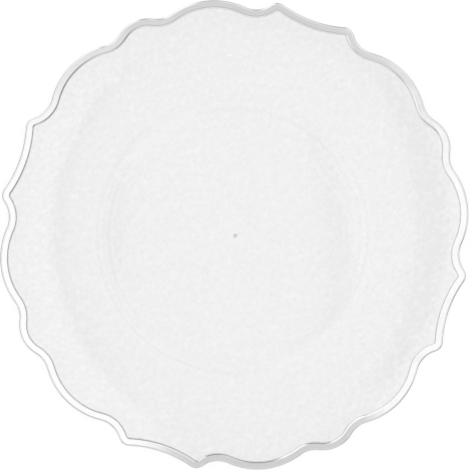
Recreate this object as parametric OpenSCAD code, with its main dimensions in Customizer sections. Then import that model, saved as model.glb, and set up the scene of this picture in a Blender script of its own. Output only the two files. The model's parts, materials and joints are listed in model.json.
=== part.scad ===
// Charger plate: one clear moulding with a scalloped edge, and the silver band laid over its edge bead.
// Millimetres, +Z up. The origin is on the plate's axis, in the plane that its foot ring rests on.
// The +X axis runs through the middle lobe of a group.

/* [Outline] */
// Diameter over the lobes and the tips
plate_d = 330; // [300:1:360]
// Groups of three lobes and two tips round the edge
groups = 4; // [3:1:6]
// Radius of the small lobe in the middle of each group
mid_lobe_r = 24; // [18:0.5:32]
// Radius of the wide lobe on each side of it
side_lobe_r = 52; // [44:1:62]
// Radius of the pointed tips
tip_r = 8; // [6:0.5:12]
// Radius of the hollows beside the lobes
hollow_r = 18.5; // [14:0.5:26]
// Radius of the long hollow between two tips
sweep_r = 85; // [65:1:120]

/* [Dish] */
// Rise of the rim from the well to the circle that the lobes reach
rim_rise = 10.5; // [8:0.5:20]
// How far the rim bows below a straight slope
rim_sag = 1.4; // [0:0.1:1.8]
// Thickness of the moulding
wall = 2.4; // [1.8:0.1:3.2]
// Diameter of the flat well
well_d = 188; // [160:1:220]
// Length over which the well turns up into the rim
well_blend = 6; // [3:0.5:20]

/* [Edge bead] */
// Width of the bead, with its silver
bead_w = 6; // [4:0.1:7]
// Height of the bead over the rim, with its silver
bead_h = 1.4; // [1:0.1:2.4]
// Width of the round shoulder on each side of the bead's flat top
bead_shoulder = 1.5; // [0.6:0.1:1.9]
// Bevel under the outer edge
edge_bevel = 0.6; // [0.3:0.1:1.2]
// Thickness of the silver band
silver_t = 0.2; // [0.15:0.05:0.4]

/* [Foot and gate mark] */
// Width of the flat face that the foot ring rests on
foot_w = 4; // [2.5:0.5:8]
// How far that face reaches out past the edge of the well
foot_reach = 1; // [-8:0.5:3]
// How far each side of the foot ring slopes out on its way up
foot_slope = 4; // [2:0.1:5]
// Height of the foot ring
foot_h = 1.2; // [1.1:0.1:2.2]
// Diameter of the gate mark under the centre of the well
gate_d = 2.4; // [1.6:0.1:4]
// How far the gate mark stands out of the underside
gate_h = 0.6; // [0.3:0.1:1]

/* [Hidden] */

// Facets along each arc of the outline, over each shoulder of the bead and up the rim
arc_steps = 4;
shoulder_steps = 3;
rim_steps = 6;
// Facets crowd towards the well, where the rim bends most
rim_crowding = 1.5;
// Least radius left at a tip when the outline is drawn in
least_tip_r = 0.5;
$fn = 96;

// Radii of the lobes and tips of one group, from its middle lobe on, and of the hollow after each
crown_radii = [mid_lobe_r, side_lobe_r, tip_r, tip_r, side_lobe_r];
hollow_radii = [hollow_r, hollow_r, sweep_r, hollow_r, hollow_r];
crowns = groups * len(crown_radii);
crown_step = 360 / crowns;

floor_z = foot_h + wall;
well_r = well_d / 2;
rim_run = plate_d / 2 - well_r;
rim_softness = well_blend / rim_run;
// Lower edge of the silver, measured from the upper face of the rim
silver_low = edge_bevel - wall;

function pick(list, i) = list[i % len(list)];
function polar(r, angle) = r * [cos(angle), sin(angle)];
function heading(v) = atan2(v.y, v.x);
function full_turn(angle) = angle - 360 * floor(angle / 360);
function reversed(list) = [for (i = [len(list) - 1:-1:0]) list[i]];

// Where two circles cross, on the right of the way from the first centre to the second
function crossing(a, ra, b, rb) =
    let (d = b - a, l = norm(d), s = (l * l + ra * ra - rb * rb) / (2 * l))
    a + (d * s + [d.y, -d.x] * sqrt(ra * ra - s * s)) / l;

// Centres of the lobes and tips, which all reach the same circle, and of the hollows tangent to them
function crown_centre(i) = polar(plate_d / 2 - pick(crown_radii, i), i * crown_step);
function hollow_centre(i) = crossing(
    crown_centre(i), pick(crown_radii, i) + pick(hollow_radii, i),
    crown_centre(i + 1), pick(crown_radii, i + 1) + pick(hollow_radii, i)
);
hollows = [for (i = [0:crowns - 1]) hollow_centre(i)];

// A lobe or tip of the outline drawn in by inset, still tangent to the hollows beside it
function inset_radius(i, inset) = max(pick(crown_radii, i) - inset, least_tip_r);
function inset_centre(i, inset) =
    let (r = inset_radius(i, inset), before = i + crowns - 1)
    crossing(
        pick(hollows, i), pick(hollow_radii, i) + inset + r,
        pick(hollows, before), pick(hollow_radii, before) + inset + r
    );

function arc(centre, r, from, turn) =
    [for (k = [0:arc_steps - 1]) centre + polar(r, from + turn * k / arc_steps)];

// The closed outline drawn in by inset: a chain of tangent arcs, with as many points at any inset
function outline(inset) = [
    for (i = [0:crowns - 1])
        let (
            crown = inset_centre(i, inset),
            next_crown = inset_centre(i + 1, inset),
            hollow = pick(hollows, i),
            crown_from = heading(pick(hollows, i + crowns - 1) - crown),
            crown_to = heading(hollow - crown),
            hollow_from = heading(crown - hollow),
            hollow_to = heading(next_crown - hollow)
        )
        each concat(
            arc(crown, inset_radius(i, inset), crown_from, full_turn(crown_to - crown_from)),
            arc(hollow, pick(hollow_radii, i) + inset, hollow_from, -full_turn(hollow_from - hollow_to))
        )
];

// Share of a straight rise at a share u of the way out from the well, with a soft start
function ramp(u) =
    (sqrt(u * u + rim_softness * rim_softness) - rim_softness)
    / (sqrt(1 + rim_softness * rim_softness) - rim_softness);

// Height of the round dish's upper face: a straight slope, bowed down by the sag at its middle
function dish_height(r) =
    let (u = (r - well_r) / rim_run)
    floor_z + (rim_rise - 4 * rim_sag) * ramp(u) + 4 * rim_sag * u * u;

// Points put on the dish's upper face, or above it by lift
function on_dish(points, lift) = [for (p = points) [p.x, p.y, dish_height(norm(p)) + lift]];

// Rings of the dish from the round well out to the scalloped bead
bead_foot = outline(bead_w);
function rim_points(u) = [
    for (p = bead_foot)
        let (start = well_r * p / norm(p))
        start + u * (p - start)
];
function rim_rings(lift) =
    [for (k = [0:rim_steps]) on_dish(rim_points(pow(k / rim_steps, rim_crowding)), lift)];

// Rings over the bead from its outer to its inner foot, below a skin of the given thickness
function bead_rings(skin) =
    let (
        turns = [for (k = [0:shoulder_steps]) 90 * k / shoulder_steps],
        reach = bead_shoulder - skin,
        height = bead_h - skin
    )
    concat(
        [for (t = turns) on_dish(outline(bead_shoulder - reach * cos(t)), height * sin(t))],
        [for (t = reversed(turns)) on_dish(outline(bead_w - bead_shoulder + reach * cos(t)), height * sin(t))]
    );

// Triangles between rings of n points; a closed loop takes the other diagonal, so that a skin fits its core
function ring_faces(count, n, closed) = [
    for (k = [0:count - (closed ? 1 : 2)], j = [0:n - 1])
        let (
            a = k * n + j,
            b = k * n + (j + 1) % n,
            c = (k + 1) % count * n + (j + 1) % n,
            d = (k + 1) % count * n + j
        )
        each closed ? [[a, d, b], [b, d, c]] : [[a, d, c], [a, c, b]]
];

// A solid skinned over rings, closed by a fan to a point at each end
module dish(rings, bottom, top) {
    n = len(rings[0]);
    last = (len(rings) - 1) * n;
    low = len(rings) * n;
    high = low + 1;
    fans = [for (j = [0:n - 1]) each [[low, j, (j + 1) % n], [high, last + (j + 1) % n, last + j]]];
    polyhedron(
        concat([for (ring = rings) each ring], [bottom, top]),
        concat(ring_faces(len(rings), n, false), fans)
    );
}

// A closed band skinned over rings that come back to the first
module band(rings) {
    polyhedron([for (ring = rings) each ring], ring_faces(len(rings), len(rings[0]), true));
}

// The sloping sides run on into the wall, so that ring and dish are one solid
module foot_ring() {
    outer_r = well_r + foot_reach;
    inner_r = outer_r - foot_w;
    top = foot_h + wall / 2;
    spread = foot_slope * top / foot_h;
    rotate_extrude()
        polygon([[inner_r, 0], [outer_r, 0], [outer_r + spread, top], [inner_r - spread, top]]);
}

module gate_mark() {
    translate([0, 0, foot_h - gate_h])
        cylinder(d = gate_d, h = gate_h + wall / 2);
}

module plate_body() {
    lower_edge = [
        on_dish(outline(silver_t + edge_bevel), -wall),
        on_dish(outline(silver_t), silver_low)
    ];
    rings = concat(rim_rings(-wall), lower_edge, bead_rings(silver_t), reversed(rim_rings(0)));
    color([0.94, 0.95, 0.96, 0.45])
        union() {
            dish(rings, [0, 0, foot_h], [0, 0, floor_z]);
            foot_ring();
            gate_mark();
        }
}

module silver_rim() {
    rings = concat(
        [on_dish(outline(0), silver_low)],
        bead_rings(0),
        reversed(bead_rings(silver_t)),
        [on_dish(outline(silver_t), silver_low)]
    );
    color("silver")
        band(rings);
}

plate_body();
silver_rim();
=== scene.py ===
"""Charger plate of clear hammered plastic with a silvered, scalloped edge, dressed over its packed model.

The file is laid out as an add-on: each piece has an operator, and the sizes and colours are properties.
Lengths are in metres. The origin is on the plate's axis, in the plane that its foot ring rests on.
"""

import json
import math

import bpy
import numpy as np
from bpy.props import FloatProperty, FloatVectorProperty, IntProperty, PointerProperty
from mathutils import Matrix, Vector


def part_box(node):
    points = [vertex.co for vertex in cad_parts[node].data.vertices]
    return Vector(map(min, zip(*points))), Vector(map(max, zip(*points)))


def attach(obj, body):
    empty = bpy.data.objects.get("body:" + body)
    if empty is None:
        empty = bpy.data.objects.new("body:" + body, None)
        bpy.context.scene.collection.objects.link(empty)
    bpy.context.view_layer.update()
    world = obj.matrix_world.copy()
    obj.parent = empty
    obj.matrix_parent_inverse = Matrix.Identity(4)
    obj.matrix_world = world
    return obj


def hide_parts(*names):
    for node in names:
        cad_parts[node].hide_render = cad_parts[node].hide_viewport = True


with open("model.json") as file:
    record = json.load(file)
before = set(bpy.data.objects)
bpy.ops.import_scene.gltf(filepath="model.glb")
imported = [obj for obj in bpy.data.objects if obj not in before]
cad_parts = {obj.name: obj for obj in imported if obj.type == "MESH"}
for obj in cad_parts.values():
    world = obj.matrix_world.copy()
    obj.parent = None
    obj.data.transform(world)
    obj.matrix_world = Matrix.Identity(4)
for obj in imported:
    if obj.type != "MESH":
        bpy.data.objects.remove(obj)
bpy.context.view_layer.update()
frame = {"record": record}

bl_info = {
    "name": "Charger Plate",
    "version": (1, 0, 0),
    "blender": (4, 5, 0),
    "location": "View3D > Sidebar > Charger Plate",
    "description": "Builds a clear hammered charger plate with a silvered, scalloped edge",
    "category": "Object",
}

MOUNTS = {mount["name"]: mount for mount in frame["record"]["mounts"]}
SILVER_LOW, SILVER_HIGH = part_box("silver_rim")

# Edges that turn by more than this stay crisp.
SHARP_ANGLE = math.radians(40)
# Facets over each shoulder of the silver, over those of the core below it, and round the edge bevel.
SHOULDER_STEPS = 10
CORE_STEPS = 4
BEVEL_STEPS = 3
# Rows of points across the bead's flat top; the outer two keep the shoulders' curve off it.
FLAT_ROWS = (0.04, 0.5, 0.96)
# Left between the silver and its core, so that their faces don't coincide.
AIR_GAP = 0.00002
# Shares of the gate mark's radius: where its rounded rim starts and ends, and the rings of points over it.
GATE_ROUND = (0.75, 1.25)
GATE_RINGS = (0.4, 0.75, 0.85, 1.0, 1.15, 1.25)
GATE_SIDES = 16
# How far a dimple's floor lies above or below the mean at full unevenness, in squares of the pitch.
DIMPLE_SPREAD = 0.2
# Attribute of the moulding's points that paints light and shade into the plastic's tint, and what it is in
# deep dimples (painted shade), on smooth faces and on high ridges (painted light).
PAINTED_LIGHT = "clearness"
DIMPLE, PLAIN, RIDGE = 0.1, 0.5, 1.0
# Refractive index of the clear plastic.
PLASTIC_IOR = 1.57
# The range that most of a noise lies in, and the height of the relief that a noise makes.
NOISE_LOW, NOISE_HIGH = 0.3, 0.7
NOISE_HEIGHT = 0.0001
# The sweep: its flat floor, the bend up to its wall, the wall's top, and the floor's drop below the foot.
FLOOR_RADIUS, FLOOR_BEND, WALL_TOP, FLOOR_DROP = 2.4, 0.35, 0.75, 0.0001
# Rings of points over the floor and over the bend, and points round each.
FLOOR_RINGS, BEND_RINGS, SWEEP_SIDES = 12, 12, 96
# Points along the curved inner edge of a softbox or card.
EDGE_POINTS = 16
# Brightness of the room on each side of the picture, from height 0, level with the plate, to 1, overhead.
ROOM_TOP = ((0.0, 0.15), (0.48, 0.18), (0.72, 0.45), (0.92, 0.68), (0.97, 0.71), (1.0, 0.85))
ROOM_BOTTOM = ((0.0, 0.85), (0.62, 0.8), (0.7, 0.45), (0.82, 0.45), (0.9, 0.71), (0.95, 0.73), (1.0, 0.85))
ROOM_RIGHT = ((0.0, 0.12), (0.7, 0.15), (0.78, 0.5), (1.0, 0.85))
ROOM_LEFT = ((0.0, 0.06), (0.78, 0.08), (0.84, 0.7), (1.0, 0.85))
# Where the room's top takes over from its bottom, and its right and left from both.
TOP_START, TOP_END = -0.1, 0.1
SIDE_START, SIDE_END = 0.45, 0.65
# Sockets of a mix node for colours, which share their names with its other sockets.
MIX_SHARE, MIX_FIRST, MIX_SECOND, MIX_RESULT = 0, 6, 7, 2
# Width of the camera's sensor in millimetres, and how far it sees in metres.
SENSOR_WIDTH = 36.0
VIEW_END = 50.0


def length(name, description, default):
    """A property that holds a length in metres."""
    return FloatProperty(
        name=name,
        description=description,
        default=default,
        precision=5,
        unit="LENGTH",
        subtype="DISTANCE",
    )


def share(name, description, default):
    """A property that holds a share from 0 to 1."""
    return FloatProperty(
        name=name, description=description, default=default, min=0.0, max=1.0, subtype="FACTOR"
    )


def angle(name, description, degrees):
    """A property that holds an angle."""
    return FloatProperty(
        name=name,
        description=description,
        default=math.radians(degrees),
        unit="ROTATION",
        subtype="ANGLE",
    )


def colour(name, description, default):
    """A property that holds a colour."""
    return FloatVectorProperty(
        name=name, description=description, default=default, size=3, min=0.0, max=1.0, subtype="COLOR"
    )


def strength(name, description, default):
    """A property that holds a brightness, where 1 is white."""
    return FloatProperty(name=name, description=description, default=default, min=0.0)


class PlateSizes(bpy.types.PropertyGroup):
    """Sizes of the moulding and its silver band, the same as the solids have"""

    groups: IntProperty(
        name="Groups", description="Groups of three lobes and two tips round the edge", default=4, min=3
    )
    plate_diameter: length("Plate diameter", "Over the lobes and the tips", SILVER_HIGH.x - SILVER_LOW.x)
    mid_lobe_radius: length("Middle lobe radius", "Small lobe in the middle of each group", 0.024)
    side_lobe_radius: length("Side lobe radius", "Wide lobe on each side of the middle one", 0.052)
    tip_radius: length("Tip radius", "Pointed tips between the groups", 0.008)
    hollow_radius: length("Hollow radius", "Hollows beside the lobes", 0.0185)
    sweep_radius: length("Sweep radius", "Long hollow between two tips", 0.085)
    well_floor: length("Well floor", "Height of the well's upper face", MOUNTS["well"]["pos_m"][2])
    well_diameter: length("Well diameter", "Flat middle of the plate", 0.188)
    well_blend: length("Well blend", "Length over which the well turns up into the rim", 0.006)
    rim_rise: length("Rim rise", "From the well to the circle that the lobes reach", 0.0105)
    rim_sag: length("Rim sag", "How far the rim bows below a straight slope", 0.0014)
    wall: length("Wall", "Thickness of the moulding", 0.0024)
    bead_width: length("Bead width", "Raised bead along the edge, with its silver", 0.006)
    bead_height: length("Bead height", "Bead over the rim, with its silver", 0.0014)
    bead_shoulder: length("Bead shoulder", "Round shoulder on each side of the bead", 0.0015)
    edge_bevel: length("Edge bevel", "Rounding under the outer edge", 0.0006)
    silver_thickness: length("Silver thickness", "Silver band laid over the bead", 0.0002)
    foot_middle: length("Foot middle", "Radius of the foot ring's middle line", MOUNTS["foot"]["pos_m"][0])
    foot_width: length("Foot width", "Flat face that the foot ring rests on", 0.004)
    foot_slope: length("Foot slope", "How far each side of the foot ring slopes out", 0.004)
    gate_diameter: length("Gate diameter", "Gate mark under the centre", 0.0024)
    gate_height: length("Gate height", "How far the gate mark stands out", 0.0006)


class HammeredFinish(bpy.types.PropertyGroup):
    """Relief of the underside"""

    pitch: length("Dimple pitch", "Mean distance between dimples", 0.0038)
    depth: length("Dimple depth", "From the deepest dimple to the highest ridge", 0.00008)
    scatter: share("Scatter", "How far dimples stray from an even spacing", 0.42)
    unevenness: share("Unevenness", "How much the dimples' depths differ", 0.45)
    sharpness: FloatProperty(
        name="Ridge sharpness", description="Higher values give crisper ridges", default=18.0, min=4.0
    )
    clear_margin: length("Clear margin", "Smooth strip left beside the foot ring and the edge", 0.002)
    # How far the relief paints light and shade into the plastic's tint, at the floor and gained with height.
    shading: share("Shading", "How far the relief shades the plastic at the floor", 0.2)
    raised_shading: share("Raised shading", "Shading gained up to the highest part of the underside", 0.6)
    mesh_step: length("Mesh step", "Distance between points of the hammered face", 0.00112)
    plain_step: length("Plain step", "Distance between rings of the smooth face", 0.003)
    seed: IntProperty(name="Seed", description="Start of the random scatter", default=7)


class PlateColours(bpy.types.PropertyGroup):
    """Colours of the plastic, the silver and the floor"""

    # Lit and shaded copies of the plastic's tint: painted light over the ridges, painted shade over the
    # dimples and over the gate mark.
    plastic_lit_tint: colour("Plastic tint", "Over the ridges, where light gathers", (0.985, 0.985, 0.987))
    plastic_shaded_tint: colour("Plastic shade", "Over the dimples", (0.795, 0.795, 0.799))
    gate_shaded_tint: colour("Gate shade", "Over the dull gate mark", (0.48, 0.48, 0.48))
    plastic_shadow: colour("Plastic shadow", "Light that each face lets through", (0.9, 0.9, 0.9))
    silver_tint: colour("Silver tint", "Bright silver", (0.90, 0.90, 0.905))
    silver_shade: colour("Silver shade", "Silver where the layer is thin", (0.86, 0.86, 0.868))
    floor_white: colour("Floor white", "Floor and sweep, as far as the lights make it", (0.25, 0.25, 0.25))


class StudioSettings(bpy.types.PropertyGroup):
    """Camera and lights, in the axes of the picture: x to its right and y to its top"""

    camera_height: length("Camera height", "Above the floor", 1.2)
    lean_right: angle("Lean right", "Camera's lean towards the right of the picture", -4.80)
    lean_up: angle("Lean up", "Camera's lean towards the top of the picture", 1.80)
    roll: angle("Roll", "Direction of the picture's right, from the plate's +X", -25.76)
    aim_right: length("Aim right", "Aimed point, right of the plate's axis", -0.00133)
    aim_up: length("Aim up", "Aimed point, above the plate's axis", 0.00087)
    aim_height: length("Aim height", "Aimed point, above the floor", 0.015)
    lens: FloatProperty(name="Lens", description="Focal length in millimetres", default=130.79)
    box_height: length("Softbox height", "Inner edges of the softboxes, above the floor", 1.64)
    opening_right: length("Opening right", "Middle of the round opening between the softboxes", 0.091)
    opening_up: length("Opening up", "Middle of the round opening between the softboxes", -0.08)
    opening_width: length("Opening width", "Across the round opening between the softboxes", 0.484)
    opening_length: length("Opening length", "Along the round opening between the softboxes", 0.64)
    front_edge: length("Softbox front", "Edge of both softboxes towards the picture's bottom", -0.37)
    straight_edge: length("Straight edge", "Where the inner edges run straight on to the back", 0.16)
    back_edge: length("Softbox back", "Edge of both softboxes towards the picture's top", 1.18)
    left_far: length("Left far edge", "Outer edge of the left softbox", -0.37)
    left_low: length("Left low edge", "Height of the left softbox's outer edge", 0.25)
    right_far: length("Right far edge", "Outer edge of the right softbox", 1.26)
    right_low: length("Right low edge", "Height of the right softbox's outer edge", 1.18)
    box_strength: strength("Softbox strength", "Lit cloth of the softboxes", 1.12)
    front_strength: share("Front strength", "Share of it that is left at the front edge", 0.72)
    front_fade: length("Front fade", "Length over which it fades towards the front edge", 0.2)
    card_front: length("Card front", "Front end of the cards beside the opening", -0.3)
    card_back: length("Card back", "Back end of the cards beside the opening", 0.17)
    left_card_width: length("Left card width", "Grey card along the left softbox", 0.1)
    left_card_glow: strength("Left card glow", "Brightness of the grey card", 0.33)
    right_card_width: length("Right card width", "Dark card along the right softbox", 0.04)
    right_card_glow: strength("Right card glow", "Brightness of the dark card", 0.25)
    floor_glow: strength("Floor glow", "White of the floor that isn't from the lights", 0.855)


def polar(radius, direction):
    """Points at a radius from the origin, in a direction given as an angle."""
    return np.stack((radius * np.cos(direction), radius * np.sin(direction)), axis=-1)


def heading(vector):
    """Direction of a vector in the plane, as an angle."""
    return math.atan2(vector[1], vector[0])


def crossing(a, radius_a, b, radius_b):
    """Where two circles cross, on the right of the way from the first centre to the second."""
    way = b - a
    span = np.linalg.norm(way)
    along = (span**2 + radius_a**2 - radius_b**2) / (2 * span)
    aside = math.sqrt(radius_a**2 - along**2)
    return a + (way * along + np.array((way[1], -way[0])) * aside) / span


def soft_step(value, low, high):
    """Rises softly from 0 at low to 1 at high."""
    along = np.clip((value - low) / (high - low), 0.0, 1.0)
    return along * along * (3 - 2 * along)


class ScallopedEdge:
    """The plate's outline: lobes, tips and hollows as a closed chain of tangent arcs."""

    LEAST_TIP_RADIUS = 0.0005
    LEAST_STEPS = 6

    def __init__(self, sizes, step):
        lobes = (sizes.mid_lobe_radius, sizes.side_lobe_radius)
        self.crown_radii = (*lobes, sizes.tip_radius, sizes.tip_radius, lobes[1]) * sizes.groups
        hollow = sizes.hollow_radius
        self.hollow_radii = (hollow, hollow, sizes.sweep_radius, hollow, hollow) * sizes.groups
        self.count = len(self.crown_radii)
        turn = 2 * math.pi / self.count
        reach = sizes.plate_diameter / 2
        crowns = [polar(reach - radius, turn * i) for i, radius in enumerate(self.crown_radii)]
        self.hollows = []
        for i, radius in enumerate(self.hollow_radii):
            after = (i + 1) % self.count
            to_crown = self.crown_radii[i] + radius
            to_next = self.crown_radii[after] + radius
            self.hollows.append(crossing(crowns[i], to_crown, crowns[after], to_next))
        self.steps = [
            max(self.LEAST_STEPS, round(abs(radius * turned) / step))
            for _, radius, _, turned in self.arcs(0.0)
        ]

    def crown(self, i, inset):
        """Centre and radius of a lobe or tip drawn in by inset, tangent to the hollows beside it."""
        radius = max(self.crown_radii[i] - inset, self.LEAST_TIP_RADIUS)
        to_hollow = self.hollow_radii[i] + inset + radius
        to_last = self.hollow_radii[i - 1] + inset + radius
        return crossing(self.hollows[i], to_hollow, self.hollows[i - 1], to_last), radius

    def arcs(self, inset):
        """Centre, radius, first heading and turn of every arc, with the outline drawn in by inset."""
        full_turn = 2 * math.pi
        crowns = [self.crown(i, inset) for i in range(self.count)]
        found = []
        for i, (centre, radius) in enumerate(crowns):
            hollow = self.hollows[i]
            following = crowns[(i + 1) % self.count][0]
            start = heading(self.hollows[i - 1] - centre)
            end = heading(hollow - centre)
            found.append((centre, radius, start, (end - start) % full_turn))
            start = heading(centre - hollow)
            end = heading(following - hollow)
            found.append((hollow, self.hollow_radii[i] + inset, start, -((start - end) % full_turn)))
        return found

    def drawn_in(self, inset):
        """Points of the outline drawn in by inset, as many at any inset."""
        stretches = []
        for (centre, radius, start, turned), steps in zip(self.arcs(inset), self.steps):
            stretches.append(centre + polar(radius, start + turned * np.arange(steps) / steps))
        return np.concatenate(stretches)


class RingMaker:
    """Rings of points between a circle and a scalloped outline."""

    LEAST_COUNT = 8

    def __init__(self, outline):
        closed = np.concatenate((outline, outline[:1]))
        self.count = len(outline)
        self.way = np.linspace(0.0, 1.0, len(closed))
        self.headings = np.unwrap(np.arctan2(closed[:, 1], closed[:, 0]))
        self.radii = np.hypot(closed[:, 0], closed[:, 1])
        self.mean_radius = self.radii.mean()

    def ring(self, circle_radius, out, count):
        """A ring that lies on the circle where out is 0, and on the outline where it is 1."""
        way = np.arange(count) / count
        reach = np.interp(way, self.way, self.radii)
        return polar(
            circle_radius + out * (reach - circle_radius), np.interp(way, self.way, self.headings)
        )

    def cover(self, circle_radius, first_radius, step):
        """Rings about a step apart: circles from the first radius to the circle, then out to the outline."""
        circles = max(1, round((circle_radius - first_radius) / step))
        places = [(radius, 0.0) for radius in np.linspace(first_radius, circle_radius, circles + 1)]
        scallops = round((self.mean_radius - circle_radius) / step)
        places += [(circle_radius, k / scallops) for k in range(1, scallops + 1)]
        rings = []
        for radius, out in places:
            mean = radius + out * (self.mean_radius - radius)
            count = max(self.LEAST_COUNT, round(2 * math.pi * mean / step))
            rings.append(self.ring(radius, out, self.count if out == 1.0 else count))
        return rings


class Skin:
    """Points and faces of a mesh that is laid down loop by loop, from inside its upper face outward."""

    def __init__(self):
        self.points = []
        self.faces = []
        self.total = 0

    def loop(self, points):
        """Adds points and gives their numbers."""
        numbers = np.arange(self.total, self.total + len(points))
        self.points.append(points)
        self.total += len(points)
        return numbers

    def bridge(self, first, second):
        """Faces between two loops: quads where they are alike, and else triangles."""
        if len(first) == len(second):
            rows = np.column_stack((first, second, np.roll(second, -1), np.roll(first, -1)))
            self.faces.extend(rows.tolist())
        elif len(first) == 1:
            fan = np.column_stack((np.full(len(second), first[0]), second, np.roll(second, -1)))
            self.faces.extend(fan.tolist())
        elif len(second) == 1:
            fan = np.column_stack((first, np.full(len(first), second[0]), np.roll(first, -1)))
            self.faces.extend(fan.tolist())
        else:
            self.stitch(first, second)

    def stitch(self, first, second):
        """Triangles between loops of different counts, stepping on along whichever lies further back."""
        i = j = 0
        while i < len(first) or j < len(second):
            a = int(first[i % len(first)])
            b = int(second[j % len(second)])
            if j >= len(second) or (i < len(first) and (i + 0.5) * len(second) < (j + 0.5) * len(first)):
                i += 1
                self.faces.append([a, b, int(first[i % len(first)])])
            else:
                j += 1
                self.faces.append([a, b, int(second[j % len(second)])])

    def loft(self, loops):
        """Adds the loops one after another, with faces between each and the next."""
        numbers = [self.loop(points) for points in loops]
        for first, second in zip(numbers, numbers[1:]):
            self.bridge(first, second)
        return numbers

    def make(self, name, material):
        """The object, smooth but for its crisp edges."""
        mesh = bpy.data.meshes.new(name)
        mesh.from_pydata(np.concatenate(self.points).tolist(), [], self.faces)
        mesh.validate()
        mesh.shade_smooth()
        mesh.set_sharp_from_angle(angle=SHARP_ANGLE)
        mesh.materials.append(material)
        piece = bpy.data.objects.new(name, mesh)
        bpy.context.scene.collection.objects.link(piece)
        return piece


def dish_height(sizes, radius):
    """Height of the dish's upper face: a soft start at the well, then a slope that bows down."""
    well = sizes.well_diameter / 2
    run = sizes.plate_diameter / 2 - well
    out = np.maximum((radius - well) / run, 0.0)
    soft = sizes.well_blend / run
    climb = (np.sqrt(out**2 + soft**2) - soft) / (math.sqrt(1 + soft**2) - soft)
    bow = 4 * sizes.rim_sag
    return sizes.well_floor + (sizes.rim_rise - bow) * climb + bow * out**2


def on_dish(sizes, points, lift):
    """Points put on the dish's upper face, or above it by lift."""
    height = dish_height(sizes, np.hypot(points[:, 0], points[:, 1])) + lift
    return np.column_stack((points, height))


def at_height(points, height):
    """Points put at one height."""
    return np.column_stack((points, np.full(len(points), height)))


def bead_loops(sizes, edge, skin, steps):
    """Loops over the bead from its inner to its outer foot, below a skin of that thickness."""
    reach = sizes.bead_shoulder - skin
    height = sizes.bead_height - skin
    turns = np.linspace(0.0, math.pi / 2, steps + 1)
    inner = sizes.bead_width - sizes.bead_shoulder
    flat = inner - sizes.bead_shoulder
    profile = [(inner + reach * math.cos(t), height * math.sin(t)) for t in turns]
    profile += [(inner - flat * part, height) for part in FLAT_ROWS]
    profile += [(sizes.bead_shoulder - reach * math.cos(t), height * math.sin(t)) for t in turns[::-1]]
    return [on_dish(sizes, edge.drawn_in(inset), lift) for inset, lift in profile]


def foot_drop(sizes, radius):
    """How far the foot ring stands below the dish: a flat face between two straight slopes."""
    away = np.abs(radius - sizes.foot_middle) - sizes.foot_width / 2
    drop = sizes.well_floor - sizes.wall
    return drop * np.clip(1.0 - away / sizes.foot_slope, 0.0, 1.0)


def gate_drop(sizes, radius):
    """How far the gate mark stands below the dish: a low button with a rounded rim."""
    start, end = (part * sizes.gate_diameter / 2 for part in GATE_ROUND)
    return sizes.gate_height * (1.0 - soft_step(radius, start, end))


def hammered_relief(finish, points):
    """Relief at each point: dimples that meet in soft ridges, 1 from top to bottom and level on average."""
    # Dimples this many cells away still count, and the grid has spare cells past the last points.
    near, spare = 2, 2
    place = points / finish.pitch
    cells = 2 * (math.ceil(np.abs(place).max()) + near + spare)
    random = np.random.default_rng(finish.seed)
    columns, rows = np.meshgrid(np.arange(cells), np.arange(cells))
    stray = random.uniform(-finish.scatter, finish.scatter, (cells, cells, 2))
    # Every other row is shifted by half a cell.
    centres = np.stack((columns + 0.5 * (rows % 2), rows), axis=-1) + stray - cells / 2
    floors = finish.unevenness * random.uniform(-DIMPLE_SPREAD, DIMPLE_SPREAD, (cells, cells))
    row = np.rint(place[:, 1] + cells / 2).astype(int)
    column = np.rint(place[:, 0] + cells / 2).astype(int)
    total = np.zeros(len(points))
    for down in range(-near, near + 1):
        for along in range(-near, near + 1):
            cell = (row + down, column + along)
            away = np.sum((place - centres[cell]) ** 2, axis=1)
            total += np.exp(-finish.sharpness * (away + floors[cell]))
    height = -np.log(total) / finish.sharpness
    return (height - height.mean()) / (height.max() - height.min())


def shader_node(tree, kind, place, **values):
    """A shader node with its place in the editor and its settings."""
    made = tree.nodes.new(kind)
    made.location = place
    for name, value in values.items():
        setattr(made, name, value)
    return made


def new_material(name):
    """An empty node material, its tree and its output."""
    material = bpy.data.materials.new(name)
    material.use_nodes = True
    tree = material.node_tree
    tree.nodes.clear()
    output = shader_node(tree, "ShaderNodeOutputMaterial", (900, 0))
    return material, tree, output


def noise(tree, place, coordinates, scale, detail, distortion=0.0):
    """A noise texture in the object's own coordinates."""
    made = shader_node(tree, "ShaderNodeTexNoise", place)
    made.inputs["Scale"].default_value = scale
    made.inputs["Detail"].default_value = detail
    made.inputs["Distortion"].default_value = distortion
    tree.links.new(coordinates.outputs["Object"], made.inputs["Vector"])
    return made


def fine_bump(tree, place, source, bump_strength):
    """A relief too fine for the mesh, from a noise."""
    made = shader_node(tree, "ShaderNodeBump", place)
    made.inputs["Strength"].default_value = bump_strength
    made.inputs["Distance"].default_value = NOISE_HEIGHT
    tree.links.new(source.outputs["Fac"], made.inputs["Height"])
    return made


def spread(tree, place, source, low, high):
    """Takes a noise's middle range to the range from low to high."""
    made = shader_node(tree, "ShaderNodeMapRange", place)
    made.inputs["From Min"].default_value = NOISE_LOW
    made.inputs["From Max"].default_value = NOISE_HIGH
    made.inputs["To Min"].default_value = low
    made.inputs["To Max"].default_value = high
    tree.links.new(source.outputs["Fac"], made.inputs["Value"])
    return made


def ramp(tree, place, stops):
    """A colour ramp with the given positions and greys or colours."""
    made = shader_node(tree, "ShaderNodeValToRGB", place)
    elements = made.color_ramp.elements
    elements.remove(elements[1])
    for k, (position, shade) in enumerate(stops):
        element = elements.new(position) if k else elements[0]
        element.position = position
        element.color = (*shade, 1.0) if hasattr(shade, "__len__") else (shade, shade, shade, 1.0)
    return made


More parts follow.
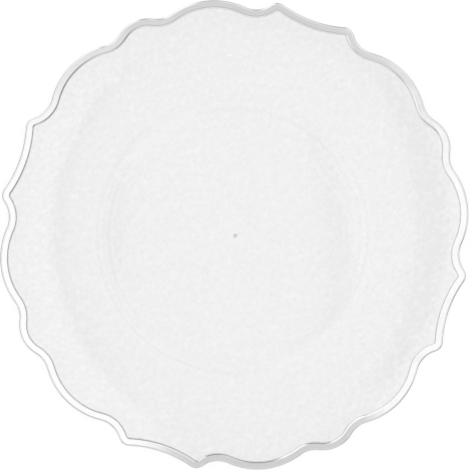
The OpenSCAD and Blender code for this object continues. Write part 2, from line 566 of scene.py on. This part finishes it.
def clear_plastic(colours):
    """Water-white plastic, with light and shade painted into its tint from its relief and a fine grain, with
    uneven gloss and an orange peel.
    """
    material, tree, output = new_material("clear_plastic")
    link = tree.links.new
    where = shader_node(tree, "ShaderNodeTexCoord", (-1150, 0))
    crinkle = noise(tree, (-950, 500), where, scale=400.0, detail=2.0, distortion=1.2)
    gloss = noise(tree, (-950, 0), where, scale=90.0, detail=4.0)
    peel = noise(tree, (-950, -250), where, scale=400.0, detail=2.0, distortion=0.6)
    # The painted light and shade that the underside's points carry, mottled by a fine grain.
    clearness = shader_node(tree, "ShaderNodeAttribute", (-950, 250), attribute_name=PAINTED_LIGHT)
    grain = spread(tree, (-700, 500), crinkle, low=-0.13, high=0.13)
    mottled_light_and_shade = shader_node(tree, "ShaderNodeMath", (-500, 350), operation="ADD")
    # The tint runs from painted shade at the gate mark and in the dimples to painted light on the ridges.
    shades = ((0.0, colours.gate_shaded_tint), (DIMPLE, colours.plastic_shaded_tint), (RIDGE, colours.plastic_lit_tint))
    tint = ramp(tree, (-300, 250), shades)
    rough = spread(tree, (-300, 0), gloss, low=0.02, high=0.05)
    bump = fine_bump(tree, (-300, -250), peel, bump_strength=0.2)
    plastic = shader_node(tree, "ShaderNodeBsdfPrincipled", (0, 100))
    plastic.inputs["Transmission Weight"].default_value = 1.0
    plastic.inputs["IOR"].default_value = PLASTIC_IOR
    link(clearness.outputs["Fac"], mottled_light_and_shade.inputs[0])
    link(grain.outputs["Result"], mottled_light_and_shade.inputs[1])
    link(mottled_light_and_shade.outputs["Value"], tint.inputs["Fac"])
    link(tint.outputs["Color"], plastic.inputs["Base Color"])
    link(rough.outputs["Result"], plastic.inputs["Roughness"])
    link(bump.outputs["Normal"], plastic.inputs["Normal"])
    light_path = shader_node(tree, "ShaderNodeLightPath", (0, 400))
    passed = shader_node(tree, "ShaderNodeBsdfTransparent", (300, -150))
    passed.inputs["Color"].default_value = (*colours.plastic_shadow, 1.0)
    either = shader_node(tree, "ShaderNodeMixShader", (600, 0))
    link(light_path.outputs["Is Shadow Ray"], either.inputs["Fac"])
    link(plastic.outputs["BSDF"], either.inputs[1])
    link(passed.outputs["BSDF"], either.inputs[2])
    link(either.outputs["Shader"], output.inputs["Surface"])
    return material


def bright_silver(colours):
    """Metallised silver: a bright layer, a little thinner in patches, with a faint ripple."""
    material, tree, output = new_material("bright_silver")
    link = tree.links.new
    where = shader_node(tree, "ShaderNodeTexCoord", (-900, 0))
    patches = noise(tree, (-700, 250), where, scale=45.0, detail=4.0)
    polish = noise(tree, (-700, 0), where, scale=160.0, detail=3.0)
    ripple = noise(tree, (-700, -250), where, scale=420.0, detail=2.0)
    shades = ((NOISE_LOW, colours.silver_shade), (NOISE_HIGH, colours.silver_tint))
    tint = ramp(tree, (-450, 250), shades)
    rough = spread(tree, (-450, 0), polish, low=0.05, high=0.10)
    bump = fine_bump(tree, (-450, -250), ripple, bump_strength=0.02)
    silver = shader_node(tree, "ShaderNodeBsdfPrincipled", (200, 0))
    silver.inputs["Metallic"].default_value = 1.0
    link(patches.outputs["Fac"], tint.inputs["Fac"])
    link(tint.outputs["Color"], silver.inputs["Base Color"])
    link(rough.outputs["Result"], silver.inputs["Roughness"])
    link(bump.outputs["Normal"], silver.inputs["Normal"])
    link(silver.outputs["BSDF"], output.inputs["Surface"])
    return material


def studio_white(colours, studio):
    """White floor: partly lit and shaded by the lights, with the rest of its white added to what is seen."""
    material, tree, output = new_material("studio_white")
    link = tree.links.new
    light_path = shader_node(tree, "ShaderNodeLightPath", (-600, 0))
    seen = shader_node(tree, "ShaderNodeMath", (-350, 100), operation="MAXIMUM")
    shown = shader_node(tree, "ShaderNodeMath", (-150, 0), operation="MAXIMUM")
    link(light_path.outputs["Is Camera Ray"], seen.inputs[0])
    link(light_path.outputs["Is Glossy Ray"], seen.inputs[1])
    link(seen.outputs["Value"], shown.inputs[0])
    link(light_path.outputs["Is Transmission Ray"], shown.inputs[1])
    glow = shader_node(tree, "ShaderNodeMath", (50, 0), operation="MULTIPLY")
    glow.inputs[1].default_value = studio.floor_glow
    link(shown.outputs["Value"], glow.inputs[0])
    paint = shader_node(tree, "ShaderNodeBsdfPrincipled", (300, 0))
    paint.inputs["Base Color"].default_value = (*colours.floor_white, 1.0)
    paint.inputs["Roughness"].default_value = 1.0
    paint.inputs["Specular IOR Level"].default_value = 0.0
    paint.inputs["Emission Color"].default_value = (1.0, 1.0, 1.0, 1.0)
    link(glow.outputs["Value"], paint.inputs["Emission Strength"])
    link(paint.outputs["BSDF"], output.inputs["Surface"])
    return material


def softbox_cloth(studio):
    """The lit front of a softbox, which fades a little towards its front edge."""
    material, tree, output = new_material("softbox_cloth")
    where = shader_node(tree, "ShaderNodeTexCoord", (-600, 0))
    parts = shader_node(tree, "ShaderNodeSeparateXYZ", (-400, 0))
    fade = shader_node(tree, "ShaderNodeMapRange", (-200, 0), interpolation_type="SMOOTHSTEP")
    fade.inputs["From Min"].default_value = studio.front_edge
    fade.inputs["From Max"].default_value = studio.front_edge + studio.front_fade
    fade.inputs["To Min"].default_value = studio.front_strength * studio.box_strength
    fade.inputs["To Max"].default_value = studio.box_strength
    lit = shader_node(tree, "ShaderNodeEmission", (300, 0))
    tree.links.new(where.outputs["Object"], parts.inputs["Vector"])
    tree.links.new(parts.outputs["Y"], fade.inputs["Value"])
    tree.links.new(fade.outputs["Result"], lit.inputs["Strength"])
    tree.links.new(lit.outputs["Emission"], output.inputs["Surface"])
    return material


def matt_card(name, glow):
    """A card of even brightness."""
    material, tree, output = new_material(name)
    lit = shader_node(tree, "ShaderNodeEmission", (300, 0))
    lit.inputs["Strength"].default_value = glow
    tree.links.new(lit.outputs["Emission"], output.inputs["Surface"])
    return material


def dress(piece, node):
    """The piece rides on the plate and stands for its solid, which it hides."""
    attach(piece, "root")
    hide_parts(node)


def opening_half(studio, up):
    """Half the width of the round opening between the softboxes, at places up the picture."""
    turns = np.arcsin((up - studio.opening_up) / (studio.opening_length / 2))
    return studio.opening_width / 2 * np.cos(turns)


def row_of_points(across, up, height):
    """A row of points up the picture, where across and height may be the same for all."""
    return np.column_stack(np.broadcast_arrays(across, up, height))


def add_strip(name, material, roll, first, second):
    """A strip between two rows of points, turned to the plate's axes and not seen by the camera itself."""
    count = len(first)
    mesh = bpy.data.meshes.new(name)
    quads = [(k, k + 1, count + k + 1, count + k) for k in range(count - 1)]
    mesh.from_pydata(np.concatenate((first, second)).tolist(), [], quads)
    mesh.materials.append(material)
    strip = bpy.data.objects.new(name, mesh)
    strip.matrix_world = Matrix.Rotation(roll, 4, "Z")
    strip.visible_camera = False
    bpy.context.scene.collection.objects.link(strip)


class CHARGER_OT_plate_body(bpy.types.Operator):
    """Build the clear moulding with its bead, hammered underside, foot ring and gate mark"""

    bl_idname = "charger.plate_body"
    bl_label = "Plate body"

    def execute(self, context):
        sizes = context.scene.charger_sizes
        finish = context.scene.charger_finish
        edge = ScallopedEdge(sizes, finish.mesh_step)
        smooth = self.upper_face(sizes, finish, edge) + self.edge_bead(sizes, edge)
        hammered, clearness = self.underside(sizes, finish, edge)
        skin = Skin()
        skin.loft(smooth + hammered)
        piece = skin.make("clear_plate", clear_plastic(context.scene.charger_colours))
        # The attribute paints light and shade into the plastic's tint; the upper face and the bead stay
        # plain.
        clear = piece.data.attributes.new(PAINTED_LIGHT, "FLOAT", "POINT")
        plain = np.full(skin.total - len(clearness), PLAIN)
        clear.data.foreach_set("value", np.concatenate((plain, clearness)))
        dress(piece, "plate_body")
        return {"FINISHED"}

    @staticmethod
    def upper_face(sizes, finish, edge):
        """Loops of the smooth upper face, from the centre out to the foot of the bead."""
        rings = RingMaker(edge.drawn_in(sizes.bead_width))
        step = finish.plain_step
        flat = [np.zeros((1, 2))] + rings.cover(sizes.well_diameter / 2, step, step)
        # The last ring is left to the bead, which starts there.
        return [on_dish(sizes, ring, 0.0) for ring in flat[:-1]]

    @staticmethod
    def edge_bead(sizes, edge):
        """Loops of the bead's core under the silver, and of the outer edge below it."""
        skin = sizes.silver_thickness + AIR_GAP
        low = sizes.edge_bevel - sizes.wall
        loops = bead_loops(sizes, edge, skin, CORE_STEPS)
        for turn in np.linspace(0.0, math.pi / 2, BEVEL_STEPS + 1):
            inset = skin + sizes.edge_bevel * (1 - math.cos(turn))
            loops.append(on_dish(sizes, edge.drawn_in(inset), low - sizes.edge_bevel * math.sin(turn)))
        return loops

    @staticmethod
    def underside(sizes, finish, edge):
        """Loops of the hammered underside from the edge in to the gate mark, and the light and shade painted
        at its points.
        """
        rings = RingMaker(edge.drawn_in(sizes.silver_thickness + AIR_GAP + sizes.edge_bevel))
        gate = sizes.gate_diameter / 2
        gate_end = GATE_ROUND[1] * gate
        button = [rings.ring(gate * part, 0.0, GATE_SIDES) for part in GATE_RINGS]
        foot_flat = sizes.foot_width / 2
        foot_outside = sizes.foot_middle + foot_flat + sizes.foot_slope
        field = rings.cover(foot_outside, sizes.gate_diameter, finish.mesh_step)
        # From the edge inward, without the outermost ring, which the edge has already.
        flat = ([np.zeros((1, 2))] + button + field)[-2::-1]
        counts = [len(ring) for ring in flat]
        points = np.concatenate(flat)
        radius = np.hypot(points[:, 0], points[:, 1])
        from_edge = finish.mesh_step * np.repeat(np.arange(1, len(flat) + 1), counts)
        margin = finish.clear_margin
        fade = soft_step(from_edge, 0.0, margin)
        fade *= soft_step(np.abs(radius - sizes.foot_middle), foot_flat, foot_flat + margin)
        fade *= soft_step(radius, gate_end, gate_end + margin)
        relief = fade * hammered_relief(finish, points)
        drop = sizes.wall + foot_drop(sizes, radius) + gate_drop(sizes, radius)
        lower = on_dish(sizes, points, -drop - finish.depth * relief)
        # Painted light and shade in place of the light the relief gathers on the floor: ridges lighter,
        # dimples darker, more so the higher the underside stands.
        shading = finish.shading + finish.raised_shading * lower[:, 2] / lower[:, 2].max()
        clearness = np.clip(PLAIN + shading * relief, DIMPLE, RIDGE)
        # Painted shade over the gate mark.
        clearness *= soft_step(radius, gate, gate_end)
        return np.split(lower, np.cumsum(counts)[:-1]), clearness


class CHARGER_OT_silver_rim(bpy.types.Operator):
    """Build the silver band that is laid over the bead"""

    bl_idname = "charger.silver_rim"
    bl_label = "Silver rim"

    def execute(self, context):
        sizes = context.scene.charger_sizes
        edge = ScallopedEdge(sizes, context.scene.charger_finish.mesh_step)
        low = sizes.edge_bevel - sizes.wall
        loops = bead_loops(sizes, edge, 0.0, SHOULDER_STEPS)
        loops.append(on_dish(sizes, edge.drawn_in(0.0), low))
        loops.append(on_dish(sizes, edge.drawn_in(sizes.silver_thickness), low))
        loops += bead_loops(sizes, edge, sizes.silver_thickness, CORE_STEPS)[::-1]
        skin = Skin()
        numbers = skin.loft(loops)
        skin.bridge(numbers[-1], numbers[0])
        piece = skin.make("silver_band", bright_silver(context.scene.charger_colours))
        dress(piece, "silver_rim")
        return {"FINISHED"}


class CHARGER_OT_stage(bpy.types.Operator):
    """Set up the floor and sweep, the softboxes and cards, the room and the camera"""

    bl_idname = "charger.stage"
    bl_label = "Stage"

    def execute(self, context):
        studio = context.scene.charger_studio
        colours = context.scene.charger_colours
        context.scene.view_settings.view_transform = "Standard"
        self.add_sweep(studio_white(colours, studio))
        self.add_softboxes(studio)
        self.add_cards(studio)
        self.light_room(context.scene, studio)
        self.add_camera(context.scene, studio)
        return {"FINISHED"}

    @staticmethod
    def add_sweep(material):
        """A round white floor that curves up into a low wall, a hair below the foot ring."""
        profile = [(FLOOR_RADIUS * k / FLOOR_RINGS, 0.0) for k in range(1, FLOOR_RINGS + 1)]
        for turn in np.linspace(0.0, math.pi / 2, BEND_RINGS + 1)[1:]:
            profile.append((FLOOR_RADIUS + FLOOR_BEND * math.sin(turn), FLOOR_BEND * (1 - math.cos(turn))))
        profile.append((FLOOR_RADIUS + FLOOR_BEND, WALL_TOP))
        directions = np.linspace(0.0, 2 * math.pi, SWEEP_SIDES, endpoint=False)
        loops = [np.zeros((1, 3))]
        loops += [at_height(polar(radius, directions), height) for radius, height in profile]
        skin = Skin()
        skin.loft([loop - np.array((0.0, 0.0, FLOOR_DROP)) for loop in loops])
        skin.make("studio_sweep", material)

    @staticmethod
    def add_softboxes(studio):
        """Softboxes at left and right, lower on their outer sides and cut out round the camera's opening."""
        cloth = softbox_cloth(studio)
        up = np.linspace(studio.front_edge, studio.straight_edge, EDGE_POINTS)
        out = opening_half(studio, up)
        up = np.append(up, studio.back_edge)
        out = np.append(out, out[-1])
        sides = {
            "left_softbox": (-out, studio.left_far, studio.left_low),
            "right_softbox": (out, studio.right_far, studio.right_low),
        }
        for name, (inner, far, low) in sides.items():
            near = row_of_points(studio.opening_right + inner, up, studio.box_height)
            add_strip(name, cloth, studio.roll, near, row_of_points(far, up, low))

    @staticmethod
    def add_cards(studio):
        """Tapered cards along the softboxes' inner edges, which line their reflections with grey."""
        up = np.linspace(studio.card_front, studio.card_back, EDGE_POINTS)
        out = opening_half(studio, up)
        taper = np.sqrt(np.sin(np.linspace(0.0, math.pi, EDGE_POINTS)))
        sides = {
            "left_card": (-1, studio.left_card_width, studio.left_card_glow),
            "right_card": (1, studio.right_card_width, studio.right_card_glow),
        }
        for name, (side, width, glow) in sides.items():
            outer = row_of_points(studio.opening_right + side * out, up, studio.box_height)
            drawn_in = studio.opening_right + side * (out - width * taper)
            inner = row_of_points(drawn_in, up, studio.box_height)
            add_strip(name, matt_card(name, glow), studio.roll, inner, outer)

    @staticmethod
    def light_room(scene, studio):
        """A grey room: dark under the softboxes and at the picture's top, and light at its bottom."""
        world = bpy.data.worlds.new("studio_room")
        world.use_nodes = True
        tree = world.node_tree
        tree.nodes.clear()
        link = tree.links.new
        where = shader_node(tree, "ShaderNodeTexCoord", (-1200, 0))
        turned = shader_node(tree, "ShaderNodeVectorRotate", (-1000, 0), rotation_type="Z_AXIS")
        turned.inputs["Angle"].default_value = -studio.roll
        parts = shader_node(tree, "ShaderNodeSeparateXYZ", (-800, 0))
        link(where.outputs["Generated"], turned.inputs["Vector"])
        link(turned.outputs["Vector"], parts.inputs["Vector"])
        top = ramp(tree, (-550, 300), ROOM_TOP)
        bottom = ramp(tree, (-550, 50), ROOM_BOTTOM)
        right = ramp(tree, (-550, -200), ROOM_RIGHT)
        left = ramp(tree, (-550, -450), ROOM_LEFT)
        for side in (top, bottom, right, left):
            link(parts.outputs["Z"], side.inputs["Fac"])
        shade = bottom.outputs["Color"]
        sides = (
            (top, "Y", TOP_START, TOP_END),
            (right, "X", SIDE_START, SIDE_END),
            (left, "X", -SIDE_START, -SIDE_END),
        )
        for step, (side, axis, start, end) in enumerate(sides):
            towards = shader_node(tree, "ShaderNodeMapRange", (-250 + 300 * step, 300))
            towards.inputs["From Min"].default_value = start
            towards.inputs["From Max"].default_value = end
            mixed = shader_node(tree, "ShaderNodeMix", (-100 + 300 * step, 0), data_type="RGBA")
            link(parts.outputs[axis], towards.inputs["Value"])
            link(towards.outputs["Result"], mixed.inputs[MIX_SHARE])
            link(shade, mixed.inputs[MIX_FIRST])
            link(side.outputs["Color"], mixed.inputs[MIX_SECOND])
            shade = mixed.outputs[MIX_RESULT]
        room = shader_node(tree, "ShaderNodeBackground", (800, 0))
        output = shader_node(tree, "ShaderNodeOutputWorld", (1000, 0))
        link(shade, room.inputs["Color"])
        link(room.outputs["Background"], output.inputs["Surface"])
        scene.world = world

    @staticmethod
    def add_camera(scene, studio):
        """The camera almost straight above the plate, with the picture's right at the roll."""
        turn = Matrix.Rotation(studio.roll, 3, "Z")
        drop = studio.camera_height - studio.aim_height
        aim = turn @ Vector((studio.aim_right, studio.aim_up, studio.aim_height))
        lean = Vector((math.tan(studio.lean_right) * drop, math.tan(studio.lean_up) * drop, drop))
        back = (turn @ lean).normalized()
        right = turn @ Vector((1.0, 0.0, 0.0))
        right = (right - back * right.dot(back)).normalized()
        up = back.cross(right)
        data = bpy.data.cameras.new("camera")
        data.lens = studio.lens
        data.sensor_width = SENSOR_WIDTH
        data.clip_end = VIEW_END
        camera = bpy.data.objects.new("camera", data)
        place = Matrix((right, up, back)).transposed().to_4x4()
        place.translation = aim + turn @ lean
        camera.matrix_world = place
        scene.collection.objects.link(camera)
        scene.camera = camera


OPERATORS = (CHARGER_OT_plate_body, CHARGER_OT_silver_rim, CHARGER_OT_stage)
SETTINGS = {
    "charger_sizes": PlateSizes,
    "charger_finish": HammeredFinish,
    "charger_colours": PlateColours,
    "charger_studio": StudioSettings,
}


class CHARGER_PT_panel(bpy.types.Panel):
    """Operators and settings of the charger plate"""

    bl_idname = "CHARGER_PT_panel"
    bl_label = "Charger Plate"
    bl_space_type = "VIEW_3D"
    bl_region_type = "UI"
    bl_category = "Charger Plate"

    def draw(self, context):
        for operator in OPERATORS:
            self.layout.operator(operator.bl_idname)
        for name, group in SETTINGS.items():
            box = self.layout.box()
            box.label(text=group.__doc__)
            for entry in group.__annotations__:
                box.prop(getattr(context.scene, name), entry)


def register():
    """Registers the classes and puts their settings on the scene."""
    for group in (*SETTINGS.values(), *OPERATORS, CHARGER_PT_panel):
        bpy.utils.register_class(group)
    for name, group in SETTINGS.items():
        setattr(bpy.types.Scene, name, PointerProperty(type=group))


def unregister():
    """Takes the settings and the classes away again."""
    for name in SETTINGS:
        delattr(bpy.types.Scene, name)
    for group in (CHARGER_PT_panel, *reversed(OPERATORS), *reversed(SETTINGS.values())):
        bpy.utils.unregister_class(group)


def main():
    """Builds the plate and its stage."""
    register()
    bpy.ops.charger.plate_body()
    bpy.ops.charger.silver_rim()
    bpy.ops.charger.stage()


if __name__ == "__main__":
    main()
